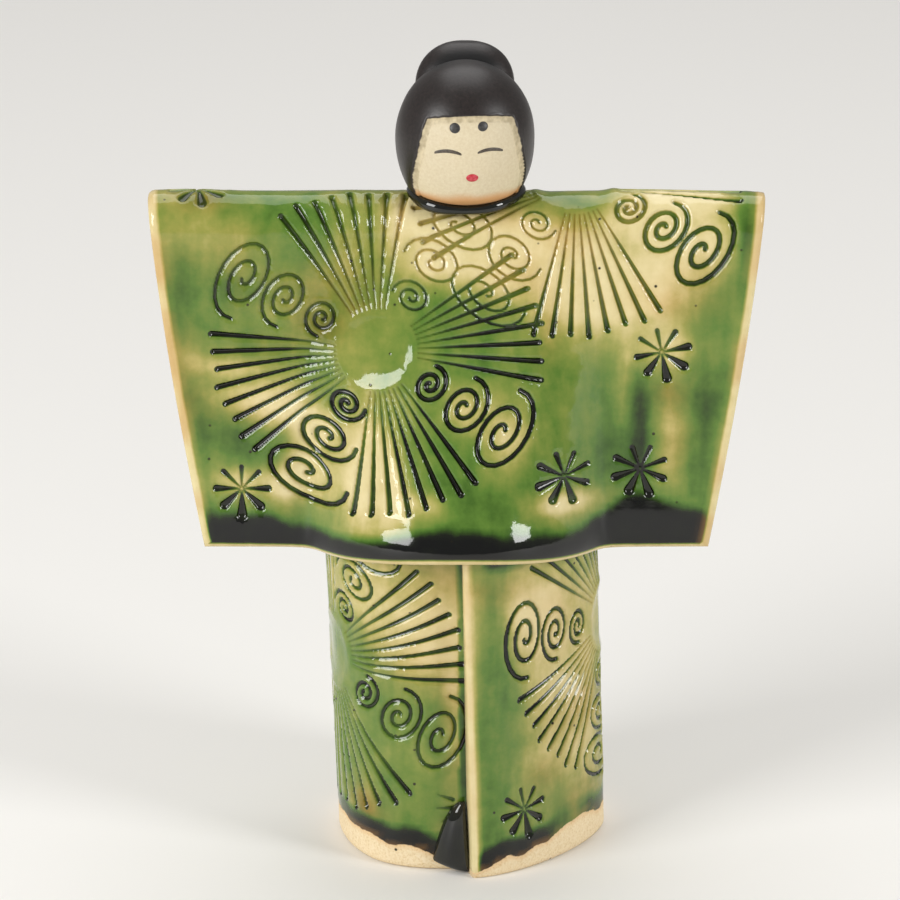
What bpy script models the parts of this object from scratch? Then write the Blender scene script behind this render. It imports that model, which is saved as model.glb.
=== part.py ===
"""Ceramic hina doll, hand built from rolled clay slabs and glaze fired as one piece.

A long slab folded over the shoulders makes the robe and its sleeves, a rolled slab with a lap down
the front makes the skirt, and a solid ball with a pressed bun makes the head.  The slabs carry
stamped sun wheels, spirals and stars.  Metres, +Z up, front towards -Y, origin on the table under
the middle of the robe.
"""

import math

import bmesh
import bpy
import numpy as np
from mathutils import Vector

MM = 0.001

# Clay slabs
SLAB = 4.0 * MM
ARRIS = 1.1 * MM
LUTE = 1.2 * MM

# Robe
CREST_HEIGHT = 113.2 * MM
FOLD_RADIUS = 6.0 * MM
ROBE_DROP = 53.6 * MM
SHOULDER_HALF_SPAN = 50.4 * MM
HEM_HALF_SPAN = 41.9 * MM
SLEEVE_DEPTH = 8.0 * MM
CHEST_DEPTH = 25.6 * MM
CHEST_HALF_WIDTH = 24.0 * MM
HEM_LIFT = 2.0 * MM
ROBE_COLUMNS = 20
ROBE_ROWS = 7
FOLD_ROWS = 6

# Skirt
FOOT_RADIUS = 22.9 * MM
FOOT_SHIFT = 2.7 * MM
WAIST_SHIFT = 0.7 * MM
WAIST_HEIGHT = 57.0 * MM
TUBE_TOP = 86.0 * MM
LAP_ANGLE = math.radians(3.1)
LAP_RUN = math.radians(5.6)
LAP_TAIL = math.radians(15.0)
PANEL_FLAT = 2.4 * MM
SKIRT_SIDES = 30

# Head
HEAD_SHIFT = 1.4 * MM
HEAD_HEIGHT = 21.7 * MM
HEAD_RADIUS = 11.4 * MM
CHIN_RADIUS = 9.3 * MM
COLLAR_RADIUS = 9.2 * MM
NECK_DEPTH = 4.6 * MM
HAIR_THICKNESS = 0.5 * MM
FRINGE_HEIGHT = 14.4 * MM
FRINGE_ANGLE = math.radians(43.0)
CHEEK_ANGLE = math.radians(60.0)
BUN_RADIUS = 8.2 * MM
BUN_THICKNESS = 4.2 * MM
BUN_BACK = 6.8 * MM
BUN_TILT = math.radians(24.0)

# Glaze bead at the foot of the lap
BEAD_WIDTH = 3.5 * MM
BEAD_DEPTH = 2.7 * MM
BEAD_HEIGHT = 6.1 * MM

# Stamps
WHEEL_RADIUS = 27.3 * MM
WHEEL_HUB = 10.0 * MM
RAY_STEP = math.radians(6.5)
RAYS_PER_FAN = 8
FAN_ANGLES = (12.5, 102.5, 198.5, 284.0)
SPIRAL_ANGLES = (57.0, 151.5, 240.0, 327.0)
SPIRAL_ROW = ((17.0 * MM, 5.2 * MM, 3.8 * MM), (24.4 * MM, 7.6 * MM, 4.6 * MM))
SPIRAL_STEPS = 6
SPIRAL_START = 5
SPIRAL_TURNS = 2.1
SPIRAL_END = math.radians(105.0)
STAR_RADIUS = 4.6 * MM
STAR_RAYS = 8
STAR_TURN = 10.0

# Stamp places: across and down from the crest on the robe, round and up from the foot on the skirt
ROBE_WHEELS = (
    (-13.0 * MM, 28.0 * MM, 0.0),
    (19.3 * MM, -1.0 * MM, -184.0),
    (-23.5 * MM, -37.0 * MM, 28.0),
)
ROBE_STARS = (
    (-42.2 * MM, -1.0 * MM),
    (-35.5 * MM, 52.6 * MM),
    (17.9 * MM, 48.8 * MM),
    (30.3 * MM, 49.0 * MM),
    (33.6 * MM, 29.1 * MM),
)
SKIRT_WHEELS = ((-30.5 * MM, 34.5 * MM, -178.0), (33.5 * MM, 38.5 * MM, 25.5))
SKIRT_STARS = ((10.1 * MM, 11.1 * MM),)
GROOVE_DEPTH = 0.6 * MM
GROOVE_WIDTH = 0.4 * MM
CARVED_ANGLE = math.radians(100.0)
GROOVE_FLARE = 1.4
CHORD_ERROR = 0.25 * MM
GROOVE_CLEARANCE = 3.2 * MM
PROBE = 0.1 * MM
SKIRT_WRAP_RADIUS = 22.4 * MM
LAP_MARGIN = math.radians(1.6)


def clear_scene():
    for item in list(bpy.data.objects):
        bpy.data.objects.remove(item, do_unlink=True)


def new_collection(name):
    group = bpy.data.collections.new(name)
    bpy.context.scene.collection.children.link(group)
    return group


def new_object(name, bm, group):
    bmesh.ops.recalc_face_normals(bm, faces=bm.faces)
    mesh = bpy.data.meshes.new(name)
    bm.to_mesh(mesh)
    bm.free()
    item = bpy.data.objects.new(name, mesh)
    group.objects.link(item)
    return item


def as_cutter(item):
    item.hide_render = True
    item.display_type = "WIRE"
    return item


def loft(bm, rings, closed_ring=True):
    """Skin a run of point rings with quads and give back the rings of vertices."""
    loops = [[bm.verts.new(point) for point in ring] for ring in rings]
    count = len(loops[0])
    for lower, upper in zip(loops, loops[1:]):
        for i in range(count if closed_ring else count - 1):
            j = (i + 1) % count
            bm.faces.new((lower[i], lower[j], upper[j], upper[i]))
    return loops


def glaze_material():
    material = bpy.data.materials.new("copper_green_glaze")
    material.use_nodes = True
    shader = material.node_tree.nodes["Principled BSDF"]
    shader.inputs["Base Color"].default_value = (0.093, 0.147, 0.019, 1.0)
    shader.inputs["Roughness"].default_value = 0.12
    shader.inputs["Metallic"].default_value = 0.0
    return material


def half_span(s):
    """Half the width of the robe slab at distance s along it from the crest."""
    share = min(abs(s) / (FOLD_RADIUS * math.pi / 2 + ROBE_DROP), 1.0)
    return SHOULDER_HALF_SPAN - (SHOULDER_HALF_SPAN - HEM_HALF_SPAN) * share ** 1.35


def hem_depth(x):
    """How far the slab stands forward at the hem: full over the skirt, shallow along the sleeves."""
    inside = 1.0 - (x / CHEST_HALF_WIDTH) ** 2
    eased = 0.5 * (inside + math.sqrt(inside * inside + 0.0144))
    return SLEEVE_DEPTH + (CHEST_DEPTH - SLEEVE_DEPTH) * eased ** 0.9


def hang_share(t):
    return 1.35 * t ** 1.3 - 0.35 * t ** 3


def hang_slope(t):
    return 1.755 * t ** 0.3 - 1.05 * t ** 2


def hang_height(gain, t, steps=12):
    """Height lost by the slab over the share t of its drop, while it leans out by gain."""
    lost = 0.0
    for k in range(steps):
        slope = gain / ROBE_DROP * hang_slope((k + 0.5) * t / steps)
        lost += math.sqrt(max(1.0 - slope * slope, 0.05)) * t / steps * ROBE_DROP
    return lost


def robe_point(x, s):
    """Point on the outer face of the robe; s runs down the front, and negative s down the back."""
    front = -1.0 if s >= 0.0 else 1.0
    along = abs(s)
    if along <= FOLD_RADIUS * math.pi / 2:
        turn = along / FOLD_RADIUS
        height = CREST_HEIGHT - FOLD_RADIUS * (1.0 - math.cos(turn))
        return Vector((x, front * FOLD_RADIUS * math.sin(turn), height))
    t = (along - FOLD_RADIUS * math.pi / 2) / ROBE_DROP
    gain = hem_depth(x) - FOLD_RADIUS
    depth = FOLD_RADIUS + gain * hang_share(t)
    return Vector((x, front * depth, CREST_HEIGHT - FOLD_RADIUS - hang_height(gain, t)))


def robe_depth_at(height):
    """Outer half depth of the robe over the middle of the chest at a height."""
    low, high = 0.0, 1.0
    gain = CHEST_DEPTH - FOLD_RADIUS
    for _ in range(30):
        middle = 0.5 * (low + high)
        if CREST_HEIGHT - FOLD_RADIUS - hang_height(gain, middle) > height:
            low = middle
        else:
            high = middle
    return FOLD_RADIUS + gain * hang_share(low)


def build_robe(group):
    quarter = FOLD_RADIUS * math.pi / 2
    down = [quarter + ROBE_DROP * (k + 1) / ROBE_ROWS for k in range(ROBE_ROWS)]
    fold = [quarter * (2 * k / FOLD_ROWS - 1) for k in range(FOLD_ROWS + 1)]
    stations = [-s for s in reversed(down)] + fold + down
    bm = bmesh.new()
    rings = []
    for s in stations:
        span = half_span(s)
        rings.append([robe_point(span * (2 * k / ROBE_COLUMNS - 1), s) for k in range(ROBE_COLUMNS + 1)])
    loft(bm, rings, closed_ring=False)
    robe = new_object("hina_doll", bm, group)
    thick = robe.modifiers.new("slab", "SOLIDIFY")
    thick.thickness = SLAB
    thick.offset = -1.0
    thick.use_even_offset = True
    edge = robe.modifiers.new("arris", "BEVEL")
    edge.width = ARRIS
    edge.segments = 1
    edge.limit_method = "ANGLE"
    edge.angle_limit = math.radians(60.0)
    return robe


def skirt_radius(angle):
    """Plan radius of the skirt; the right panel is flattened and the left one tucks under it."""
    if angle >= LAP_ANGLE:
        share = min((angle - LAP_ANGLE) / math.radians(84.0), 1.0)
        return FOOT_RADIUS - PANEL_FLAT * math.sin(math.pi * share)
    share = min(max((angle + math.radians(52.0)) / math.radians(50.0), 0.0), 1.0)
    return FOOT_RADIUS - 0.87 * SLAB * share * share * (3.0 - 2.0 * share)


def skirt_shift(height):
    return FOOT_SHIFT + (WAIST_SHIFT - FOOT_SHIFT) * min(height / WAIST_HEIGHT, 1.0)


def skirt_point(angle, height, inset=0.0):
    """Point on the skirt at an angle from the front, positive to the doll's +X side."""
    wrapped = (angle + math.pi) % (2.0 * math.pi) - math.pi
    radius = skirt_radius(wrapped) - inset
    shift = skirt_shift(height)
    if height <= WAIST_HEIGHT:
        return Vector((shift + radius * math.sin(angle), -radius * math.cos(angle), height))
    depth = robe_depth_at(height) - SLAB + LUTE - inset
    return Vector((shift + (FOOT_RADIUS - inset) * math.sin(angle), -depth * math.cos(angle), height))


def build_skirt(group):
    """Rolled slab: a ring whose outer loop steps in at the lap and whose inner loop ends at the tail."""
    hem = WAIST_HEIGHT
    levels = [0.0, 0.5 * hem, hem]
    levels += [hem + (TUBE_TOP - hem) * k / 4 for k in range(1, 5)]
    sweep = 2.0 * math.pi - LAP_RUN
    bm = bmesh.new()
    outer_rings = []
    inner_rings = []
    for height in levels:
        outer = []
        inner = []
        for k in range(SKIRT_SIDES + 1):
            angle = LAP_ANGLE + sweep * k / SKIRT_SIDES
            outer.append(skirt_point(angle, height))
            under = SLAB if angle > LAP_ANGLE + LAP_TAIL else 1.87 * SLAB
            inner.append(skirt_point(angle, height, under))
        outer_rings.append(outer)
        inner_rings.append(inner)
    outer_loops = loft(bm, outer_rings)
    inner_loops = loft(bm, inner_rings)
    for first, second in ((outer_loops[0], inner_loops[0]), (outer_loops[-1], inner_loops[-1])):
        for i in range(len(first)):
            j = (i + 1) % len(first)
            bm.faces.new((first[i], first[j], second[j], second[i]))
    return as_cutter(new_object("skirt_slab", bm, group))


def head_profile():
    """Radius and height above the crest, from the crown down to the neck set into the fold."""
    equator = 0.43 * HEAD_HEIGHT
    points = []
    for k in range(7):
        turn = math.radians(90.0 - 15.0 * k)
        points.append((HEAD_RADIUS * math.cos(turn), equator + (HEAD_HEIGHT - equator) * math.sin(turn)))
    points[0] = (0.0, HEAD_HEIGHT)
    points += [(0.975 * HEAD_RADIUS, 0.27 * HEAD_HEIGHT), (0.9 * HEAD_RADIUS, 0.12 * HEAD_HEIGHT)]
    points += [(CHIN_RADIUS, 0.03 * HEAD_HEIGHT), (0.9 * CHIN_RADIUS, -0.02 * HEAD_HEIGHT)]
    points += [(COLLAR_RADIUS, -0.05 * HEAD_HEIGHT), (0.7 * COLLAR_RADIUS, -0.8 * NECK_DEPTH)]
    points += [(0.0, -NECK_DEPTH)]
    return points


def head_radius(height):
    """Radius of the head at a height above the crest."""
    profile = [point for point in reversed(head_profile())]
    return float(np.interp(height, [p[1] for p in profile], [p[0] for p in profile]))


def build_head(group):
    mesh = bpy.data.meshes.new("head_ball")
    points = [(radius, 0.0, height) for radius, height in head_profile()]
    edges = [(k, k + 1) for k in range(len(points) - 1)]
    mesh.from_pydata(points, edges, [])
    head = bpy.data.objects.new("head_ball", mesh)
    group.objects.link(head)
    head.location = (HEAD_SHIFT, 0.0, CREST_HEIGHT)
    turn = head.modifiers.new("turned", "SCREW")
    turn.steps = 18
    turn.render_steps = 18
    turn.use_merge_vertices = True
    turn.merge_threshold = 0.0001 * 0.5
    return as_cutter(head)


def build_bun(group):
    bm = bmesh.new()
    bmesh.ops.create_uvsphere(bm, u_segments=14, v_segments=7, radius=1.0)
    bmesh.ops.scale(bm, vec=(BUN_RADIUS, BUN_THICKNESS, BUN_RADIUS), verts=bm.verts)
    bun = new_object("hair_bun", bm, group)
    bun.rotation_euler = (-BUN_TILT, 0.0, 0.0)
    bun.location = (HEAD_SHIFT, BUN_BACK, CREST_HEIGHT + HEAD_HEIGHT + 0.2 * BUN_RADIUS - BUN_RADIUS)
    return as_cutter(bun)


def build_bead(group):
    bm = bmesh.new()
    bmesh.ops.create_uvsphere(bm, u_segments=8, v_segments=6, radius=1.0)
    bmesh.ops.scale(bm, vec=(BEAD_WIDTH, BEAD_DEPTH, BEAD_HEIGHT), verts=bm.verts)
    bead = new_object("glaze_bead", bm, group)
    seam = skirt_point(LAP_ANGLE - LAP_RUN, BEAD_HEIGHT)
    bead.location = (seam.x - 0.3 * BEAD_WIDTH, seam.y - 0.1 * BEAD_DEPTH, BEAD_HEIGHT + 0.05 * MM)
    return as_cutter(bead)


def build_face_window(group):
    """The hair slip stops at a window for the face; this block clears it, one hair thickness deep."""
    bm = bmesh.new()
    rings = []
    for k in range(6):
        height = FRINGE_HEIGHT * (1.0 - k / 5) + 0.02 * HEAD_HEIGHT * k / 5
        reach = FRINGE_ANGLE + (CHEEK_ANGLE - FRINGE_ANGLE) * k / 5
        radius = head_radius(height) - HAIR_THICKNESS
        ring = []
        for i in range(9):
            angle = reach * (i / 4 - 1.0)
            across, forward = radius * math.sin(angle), radius * math.cos(angle)
            ring.append((HEAD_SHIFT + across, -forward, CREST_HEIGHT + height))
        rings.append(ring)
    loft(bm, rings, closed_ring=False)
    window = new_object("face_window", bm, group)
    outward = window.data.polygons[4].normal.y < 0.0
    thick = window.modifiers.new("depth", "SOLIDIFY")
    thick.thickness = 3.0 * MM
    thick.offset = 1.0 if outward else -1.0
    return as_cutter(window)


def ray_lines(turn):
    """Centre lines of the rays of one wheel stamp, laid flat: points with a relative groove size."""
    lines = []
    for fan in FAN_ANGLES:
        for k in range(RAYS_PER_FAN):
            angle = math.radians(fan + turn) + (k - (RAYS_PER_FAN - 1) / 2) * RAY_STEP
            line = []
            for share in np.linspace(0.0, 1.0, 5):
                radius = WHEEL_HUB + (WHEEL_RADIUS - WHEEL_HUB) * share
                size = 0.7 + 0.3 * share
                line.append((radius * math.cos(angle), radius * math.sin(angle), size))
            lines.append(line)
    return lines


def spiral_lines(turn):
    """Centre lines of the larger spirals between the fans of one wheel stamp."""
    lines = []
    for row in SPIRAL_ANGLES:
        angle = math.radians(row + turn)
        out = np.array((math.cos(angle), math.sin(angle)))
        across = np.array((-math.sin(angle), math.cos(angle)))
        for distance, long_half, short_half in SPIRAL_ROW:
            count = int(round(SPIRAL_TURNS * SPIRAL_STEPS))
            line = []
            for k in range(SPIRAL_START, count + 1):
                share = k / count
                swing = angle + SPIRAL_END - (1.0 - share) * SPIRAL_TURNS * 2.0 * math.pi
                way = np.array((math.cos(swing), math.sin(swing))) * (0.12 + 0.88 * share)
                spot = out * (distance + way @ out * short_half) + across * (way @ across * long_half)
                line.append((spot[0], spot[1], 0.85))
            lines.append(line)
    return lines


def star_lines(turn):
    lines = []
    for k in range(STAR_RAYS):
        angle = math.radians(turn) + 2.0 * math.pi * k / STAR_RAYS
        way = (math.cos(angle), math.sin(angle))
        ends = ((0.18 * STAR_RADIUS, 0.5), (STAR_RADIUS, 1.5))
        lines.append([(way[0] * radius, way[1] * radius, size) for radius, size in ends])
    return lines


def clear_of_first_wheel(x, s):
    centre_x, centre_s, _ = ROBE_WHEELS[0]
    return math.hypot(x - centre_x, s - centre_s) > WHEEL_RADIUS + GROOVE_CLEARANCE


def on_clear_robe(x, s):
    """As on_robe, for a stamp that stops where the first wheel was pressed."""
    return on_robe(x, s) if clear_of_first_wheel(x, s) else None


def on_clear_front(x, s):
    return on_clear_robe(x, s) if s > -0.5 * FOLD_RADIUS else None


def on_front(x, s):
    return on_robe(x, s) if s > -0.5 * FOLD_RADIUS else None


def on_skirt_front(distance, height):
    return on_skirt(distance, height) if abs(distance / SKIRT_WRAP_RADIUS) < CARVED_ANGLE else None


def on_robe(x, s):
    """Place and outward normal on the robe, or None where the line runs off the slab."""
    length = FOLD_RADIUS * math.pi / 2 + ROBE_DROP
    if abs(s) > length - ARRIS or abs(x) > half_span(s) - ARRIS:
        return None
    here = robe_point(x, s)
    down = robe_point(x, s + PROBE) - here
    across = robe_point(x + PROBE, s) - here
    return here, down.cross(across).normalized()


def on_skirt(distance, height):
    """Place and outward normal on the skirt, or None off the slab or across the lap."""
    angle = distance / SKIRT_WRAP_RADIUS
    hem_line = CREST_HEIGHT - FOLD_RADIUS - ROBE_DROP + HEM_LIFT
    if not ARRIS < height < min(WAIST_HEIGHT - ARRIS, hem_line):
        return None
    if LAP_ANGLE - LAP_RUN - LAP_MARGIN < angle < LAP_ANGLE + LAP_MARGIN:
        return None
    here = skirt_point(angle, height)
    across = skirt_point(angle + PROBE / FOOT_RADIUS, height) - here
    up = skirt_point(angle, height + PROBE) - here
    return here, across.cross(up).normalized()


def lay(surface, centre, line, up):
    """Lay a flat line on a surface around a centre and give its stretches that stay on the clay."""
    stretches = [[]]
    for p, q, size in line:
        spot = surface(centre[0] + p, centre[1] + up * q)
        if spot is None:
            stretches.append([])
        else:
            stretches[-1].append((spot[0], spot[1], size))
    return [thin_out(stretch) for stretch in stretches if len(stretch) > 1]


def thin_out(stretch):
    """Leave out inner points that lie within the chord error of their neighbours' chord."""
    kept = [stretch[0]]
    for item, following in zip(stretch[1:-1], stretch[2:]):
        way = (following[0] - kept[-1][0]).normalized()
        reach = item[0] - kept[-1][0]
        if (reach - way * reach.dot(way)).length > CHORD_ERROR:
            kept.append(item)
    return kept + [stretch[-1]]


def cut_groove(bm, stretch):
    """V groove along a stretch: a lofted triangle, point down in the clay, that flares above it."""
    rings = []
    for k, (here, normal, size) in enumerate(stretch):
        way = stretch[min(k + 1, len(stretch) - 1)][0] - stretch[max(k - 1, 0)][0]
        side = way.cross(normal).normalized() * GROOVE_WIDTH * size * (1.0 + GROOVE_FLARE)
        rim = here + normal * GROOVE_DEPTH * size * GROOVE_FLARE
        rings.append((rim + side, rim - side, here - normal * GROOVE_DEPTH * size))
    loops = loft(bm, rings)
    bm.faces.new(loops[0])
    bm.faces.new(loops[-1])


def build_grooves(group, name, pressed):
    """One cutter for stamps that don't cross; each is (surface, up, across, along, flat lines)."""
    bm = bmesh.new()
    for surface, up, across, along, lines in pressed:
        for line in lines:
            for stretch in lay(surface, (across, along), line, up):
                cut_groove(bm, stretch)
    return as_cutter(new_object(name, bm, group))


def stamps():
    """Every stamp on the slabs; the second and third wheel stop where the first was pressed."""
    pressed = []
    for k, (x, s, turn) in enumerate(ROBE_WHEELS):
        pressed.append((on_clear_robe if k else on_robe, -1.0, x, s, ray_lines(turn)))
        pressed.append((on_clear_front if k else on_front, -1.0, x, s, spiral_lines(turn)))
    for x, z, turn in SKIRT_WHEELS:
        pressed.append((on_skirt, 1.0, x, z, ray_lines(turn)))
        pressed.append((on_skirt_front, 1.0, x, z, spiral_lines(turn)))
    pressed += [(on_robe, -1.0, x, s, star_lines(STAR_TURN)) for x, s in ROBE_STARS]
    return pressed + [(on_skirt, 1.0, x, z, star_lines(STAR_TURN)) for x, z in SKIRT_STARS]


def combine(target, operand, operation):
    step = target.modifiers.new(operand.name, "BOOLEAN")
    step.operation = operation
    step.solver = "EXACT"
    step.object = operand
    step.use_self = operation == "DIFFERENCE"


clear_scene()
doll_parts = new_collection("hina_doll")
cutters = new_collection("cutters")
doll = build_robe(doll_parts)
doll.data.materials.append(glaze_material())
combine(doll, build_skirt(cutters), "UNION")
head_ball = build_head(cutters)
combine(head_ball, build_face_window(cutters), "DIFFERENCE")
combine(doll, head_ball, "UNION")
combine(doll, build_bun(cutters), "UNION")
combine(doll, build_bead(cutters), "UNION")
combine(doll, build_grooves(cutters, "stamp_grooves", stamps()), "DIFFERENCE")
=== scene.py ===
"""Looks of a ceramic hina doll: a stamped, green glazed robe and skirt under a slip-painted head."""

import math

import bmesh
import bpy
import numpy as np
from mathutils import Matrix, Vector


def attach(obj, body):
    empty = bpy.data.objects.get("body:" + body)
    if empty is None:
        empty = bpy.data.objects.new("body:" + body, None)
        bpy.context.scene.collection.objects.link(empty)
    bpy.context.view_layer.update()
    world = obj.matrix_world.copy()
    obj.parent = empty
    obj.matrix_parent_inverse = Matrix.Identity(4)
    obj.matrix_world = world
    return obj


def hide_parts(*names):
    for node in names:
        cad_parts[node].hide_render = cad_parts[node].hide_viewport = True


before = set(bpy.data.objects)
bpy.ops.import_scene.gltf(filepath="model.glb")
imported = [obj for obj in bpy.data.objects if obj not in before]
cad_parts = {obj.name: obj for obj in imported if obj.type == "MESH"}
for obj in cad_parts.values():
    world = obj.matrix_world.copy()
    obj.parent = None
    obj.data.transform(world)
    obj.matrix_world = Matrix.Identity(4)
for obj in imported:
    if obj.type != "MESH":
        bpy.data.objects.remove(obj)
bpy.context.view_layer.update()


# The robe is one slab of rolled stoneware clay, 4 mm thick, folded over the shoulders so that it
# hangs down front and back.  The potter stamps it while it lies flat, rounds its cut edges with a
# wet finger and bends it over the skirt, so it is made flat here too, and then bent.
MM = 0.001
SLAB = 4.0
ARRIS = 1.1
CREST_HEIGHT = 113.2
TOP = 135.8
FOLD_RADIUS = 6.0
QUARTER_FOLD = FOLD_RADIUS * math.pi / 2
ROBE_DROP = 53.6
ROBE_LENGTH = QUARTER_FOLD + ROBE_DROP
SHOULDER_HALF_SPAN = 50.4
HEM_HALF_SPAN = 41.9
SLEEVE_DEPTH = 8.0
CHEST_DEPTH = 25.6
CHEST_HALF_WIDTH = 24.0
CELL = 1.1
BORDER_CELL = 1.8
BEND_STEPS = 12
CLOUD_WAVES = 14


def half_span(s):
    """Half the width of the robe slab at a distance along it from the crest."""
    share = np.minimum(np.abs(s) / ROBE_LENGTH, 1.0)
    return SHOULDER_HALF_SPAN - (SHOULDER_HALF_SPAN - HEM_HALF_SPAN) * share ** 1.35


def robe_face(x, s):
    """Outer face of the bent robe; s runs down the front from the crest, negative down the back."""
    inside = 1.0 - (x / CHEST_HALF_WIDTH) ** 2
    eased = 0.5 * (inside + np.sqrt(inside * inside + 0.0144))
    gain = SLEEVE_DEPTH + (CHEST_DEPTH - SLEEVE_DEPTH) * eased ** 0.9 - FOLD_RADIUS
    turn = np.minimum(np.abs(s) / FOLD_RADIUS, math.pi / 2)
    share = np.clip((np.abs(s) - QUARTER_FOLD) / ROBE_DROP, 0.0, 1.1)
    lost = np.zeros_like(share)
    for k in range(BEND_STEPS):
        step = (k + 0.5) * share / BEND_STEPS
        slope = gain / ROBE_DROP * (1.755 * step ** 0.3 - 1.05 * step ** 2)
        lost += np.sqrt(np.maximum(1.0 - slope * slope, 0.05)) * share / BEND_STEPS * ROBE_DROP
    depth = FOLD_RADIUS * np.sin(turn) + gain * (1.35 * share ** 1.3 - 0.35 * share ** 3)
    height = CREST_HEIGHT - FOLD_RADIUS * (1.0 - np.cos(turn)) - lost
    return np.stack([x, np.where(s >= 0.0, -depth, depth), height], axis=1)


def bend(face, flat, side):
    """Bend a flat slab, with its outer face at z = 0, onto a face; side turns its normal outwards."""
    x, y, up = flat[:, 0], flat[:, 1], flat[:, 2]
    step = 0.05
    across = face(x + step, y) - face(x - step, y)
    along = face(x, y + step) - face(x, y - step)
    normal = np.cross(across, along) * side
    normal /= np.linalg.norm(normal, axis=1)[:, None]
    return face(x, y) + normal * up[:, None]


def smooth(share):
    """Ease from 0 to 1 as the share goes from 0 to 1, and hold beyond."""
    share = np.clip(share, 0.0, 1.0)
    return share * share * (3.0 - 2.0 * share)


def cloud(x, y, size, seed):
    """Soft unevenness between about -1 and 1, with patches of about the given size in mm."""
    draw = np.random.default_rng(seed)
    total = np.zeros_like(x)
    for _ in range(CLOUD_WAVES):
        way = draw.uniform(0.0, 2.0 * math.pi)
        rate = 2.0 * math.pi / size * draw.uniform(0.35, 1.0)
        total += np.sin((x * math.cos(way) + y * math.sin(way)) * rate + draw.uniform(0.0, 6.3))
    return total / 4.0


# Bisque stamps press two patterns into the soft clay: a sun wheel with four fans of rays and a row
# of spirals in each gap, and a small star.  Rays widen and deepen outwards to a square end.
WHEEL_RADIUS = 27.3
WHEEL_HUB = 6.8
FANS = (12.5, 102.5, 198.5, 284.0)
FAN_RAYS = 8
RAY_STEP = 6.5
RAY_RAGGED = 0.35
RAY_PRESS = (0.16, 0.48, 0.09, 0.62, 1.0)
SPIRAL_ROWS = (57.0, 151.5, 240.0, 327.0)
SPIRALS = ((10.3, 3.3, 2.8, 1.9), (17.0, 5.2, 3.8, 2.1), (24.4, 7.6, 4.6, 2.15))
SPIRAL_END = math.radians(105.0)
SPIRAL_STEPS = 20
SPIRAL_DEPTH = 1.25
LINE = 0.36
STAR_RADIUS = 4.8
STAR_RAYS = 8
REACH = 3.6


def wheel(centre, turn, up, lines=(LINE, LINE, LINE, LINE), stretch=(1.0, 1.0)):
    """Strokes of one wheel on a slab: ends, half widths and depths at both ends, and square or not.

    The turn is in degrees, up is -1 where the slab's y runs downwards, and lines has the half width
    of the stroke in each row of spirals.
    """
    strokes = []

    def place(point):
        return centre[0] + point[0] * stretch[0], centre[1] + up * point[1] * stretch[1]

    for fan in FANS:
        for k in range(FAN_RAYS):
            angle = math.radians(fan + turn + (k - (FAN_RAYS - 1) / 2) * RAY_STEP)
            way = np.array((math.cos(angle), math.sin(angle)))
            ends = place(way * WHEEL_HUB) + place(way * (WHEEL_RADIUS - RAY_RAGGED * (k % 3)))
            strokes.append(ends + RAY_PRESS)
    for row, line in zip(SPIRAL_ROWS, lines):
        angle = math.radians(row + turn)
        out = np.array((math.cos(angle), math.sin(angle)))
        across = np.array((-math.sin(angle), math.cos(angle)))
        for distance, long_half, short_half, turns in SPIRALS:
            count = int(turns * SPIRAL_STEPS)
            share = np.arange(count + 1) / count
            swing = angle + SPIRAL_END - (1.0 - share) * turns * 2.0 * math.pi
            way = np.stack([np.cos(swing), np.sin(swing)], axis=1) * (0.1 + 0.9 * share)[:, None]
            spots = out * (distance + (way @ out) * short_half)[:, None]
            spots = spots + across * ((way @ across) * long_half)[:, None]
            deep = SPIRAL_DEPTH * line
            for first, second in zip(spots, spots[1:]):
                strokes.append(place(first) + place(second) + (line, line, deep, deep, 0.0))
    return strokes


def star(centre, turn, up, weak=90.0):
    """Strokes of one star: wedges that meet in the middle, pressed lightly towards the weak angle."""
    strokes = []
    for k in range(STAR_RAYS):
        angle = math.radians(turn + 360.0 / STAR_RAYS * k)
        way = np.array((math.cos(angle), math.sin(angle) * up))
        press = 0.5 - 0.5 * math.cos(angle - math.radians(weak))
        near = tuple(centre + way * 0.35)
        far = tuple(centre + way * STAR_RADIUS * (0.86 + 0.1 * press - 0.04 * (k % 3)))
        strokes.append(near + far + (0.16, 0.42 + 0.42 * press, 0.2, 0.28 + 0.34 * press, 0.0))
    return strokes


def stamped(points, strokes):
    """At flat points: depth, crowding, gap to the nearest stroke edge and how hard that was pressed."""
    depth = np.zeros(len(points))
    crowd = np.zeros(len(points))
    gap = np.full(len(points), REACH)
    press = np.full(len(points), 0.3)
    order = np.argsort(points[:, 0])
    xs = points[order, 0]
    for x0, y0, x1, y1, w0, w1, d0, d1, square in strokes:
        low, high = np.searchsorted(xs, (min(x0, x1) - REACH, max(x0, x1) + REACH))
        near = order[low:high]
        near = near[np.abs(points[near, 1] - 0.5 * (y0 + y1)) < 0.5 * abs(y1 - y0) + REACH]
        if len(near) == 0:
            continue
        length = math.hypot(x1 - x0, y1 - y0)
        ux, uy = (x1 - x0) / length, (y1 - y0) / length
        ax, ay = points[near, 0] - x0, points[near, 1] - y0
        along = ax * ux + ay * uy
        share = np.clip(along / length, 0.0, 1.0)
        apart = np.hypot(ax - share * length * ux, ay - share * length * uy)
        width = w0 + (w1 - w0) * share
        deep = d0 + (d1 - d0) * share
        edge = np.abs(ax * uy - ay * ux) if square else apart
        cut = deep * smooth((1.3 - edge / width) / 0.8)
        if square:
            cut = cut * smooth(0.5 + np.minimum(along, length - along) / 0.3)
        depth[near] = np.maximum(depth[near], cut)
        nearer = apart - width < gap[near]
        press[near] = np.where(nearer, deep, press[near])
        gap[near] = np.minimum(gap[near], apart - width)
        crowd[near] += np.exp(-(apart / 1.4) ** 2) * length * deep
    return depth, crowd / 1.9, gap, press


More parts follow.
